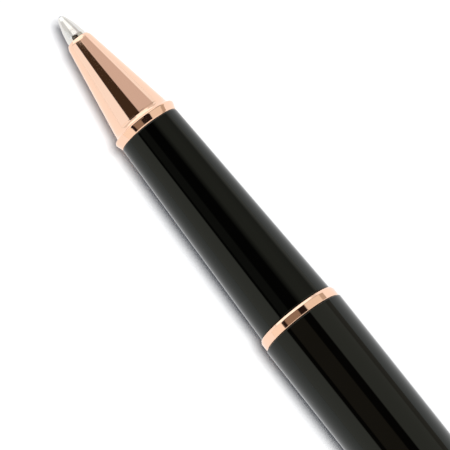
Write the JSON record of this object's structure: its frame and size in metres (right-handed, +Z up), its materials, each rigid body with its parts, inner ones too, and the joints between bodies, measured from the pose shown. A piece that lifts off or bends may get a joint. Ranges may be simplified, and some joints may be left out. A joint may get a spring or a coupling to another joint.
{
  "type": "rollerball pen",
  "caption": "Capped rollerball pen with a black barrel and rose-gold fittings, lying on its side with the cap posted on the tail and a screw-off grip section.",
  "frame": {"origin": "on the surface that the pen lies on, under the middle of the posted pen's length and under its axis", "axes": "+X along the pen from the writing point to the top of the cap, +Z up, with the clip on top"},
  "size_m": [0.152, 0.0148, 0.0165],
  "materials": {
    "rose_gold": "polished rose-gold plate on brass",
    "black_resin": "polished, mirror gloss",
    "steel": "fine turned",
    "carbide": "ground",
    "brass": "machined, unplated",
    "dark_plastic": "moulded, satin",
    "pale_plastic": "moulded, satin",
    "ink_fibre": "bonded fibre soaked in black ink",
    "rubber": "matt"
  },
  "bodies": {
    "barrel": {"barrel_shell": "black_resin", "barrel_thread_insert": "brass", "tail_ring": "rose_gold", "tail_plug": "black_resin", "spring_seat": "brass", "refill_spring": "steel"},
    "ring": {"centre_ring": "rose_gold"},
    "section": {"section_shell": "black_resin", "section_sleeve": "brass", "sealing_ring": "rubber", "nose_cone": "rose_gold"},
    "refill": {"writing_point": "steel", "point_holder": "dark_plastic", "ink_feed": "ink_fibre", "ink_core": "ink_fibre", "refill_tube": "steel", "refill_plug": "pale_plastic"},
    "ball": {"writing_ball": "carbide"},
    "cap": {"cap_shell": "black_resin", "cap_band": "rose_gold", "inner_cap": "dark_plastic", "cap_clutch": "steel", "clip_collar": "rose_gold", "finial": "black_resin", "finial_screw": "steel"},
    "clip_arm": {"clip": "rose_gold"}
  },
  "joints": [
    {"name": "section_draw", "type": "slide", "parent": "barrel", "child": "ring", "axis": [-1, 0, 0], "range_m": [0, 0.005]},
    {"name": "section_unscrew", "type": "hinge", "parent": "ring", "child": "section", "pos_m": [-0.021, 0, 0.00739], "axis": [-1, 0, 0], "range_deg": [0, 1440]},
    {"name": "refill_float", "type": "slide", "parent": "section", "child": "refill", "axis": [1, 0, 0], "range_m": [0, 0.0008], "stiffness_N_per_m": 300, "springref_m": -0.001, "deforming": ["refill_spring"]},
    {"name": "ball_roll", "type": "hinge", "parent": "refill", "child": "ball", "pos_m": [-0.07565, 0, 0.00739], "axis": [0, 1, 0], "continuous": true},
    {"name": "cap_slide", "type": "slide", "parent": "barrel", "child": "cap", "axis": [1, 0, 0], "range_m": [0, 0.045]},
    {"name": "clip_flex", "type": "hinge", "parent": "cap", "child": "clip_arm", "pos_m": [0.0682, 0, 0.01509], "axis": [0, 1, 0], "range_deg": [0, 4], "stiffness_Nm_per_rad": 1.5}
  ],
  "couplings": [
    {"joint": "section_draw", "follows": "section_unscrew", "m_per_rad": 0.00019894}
  ]
}
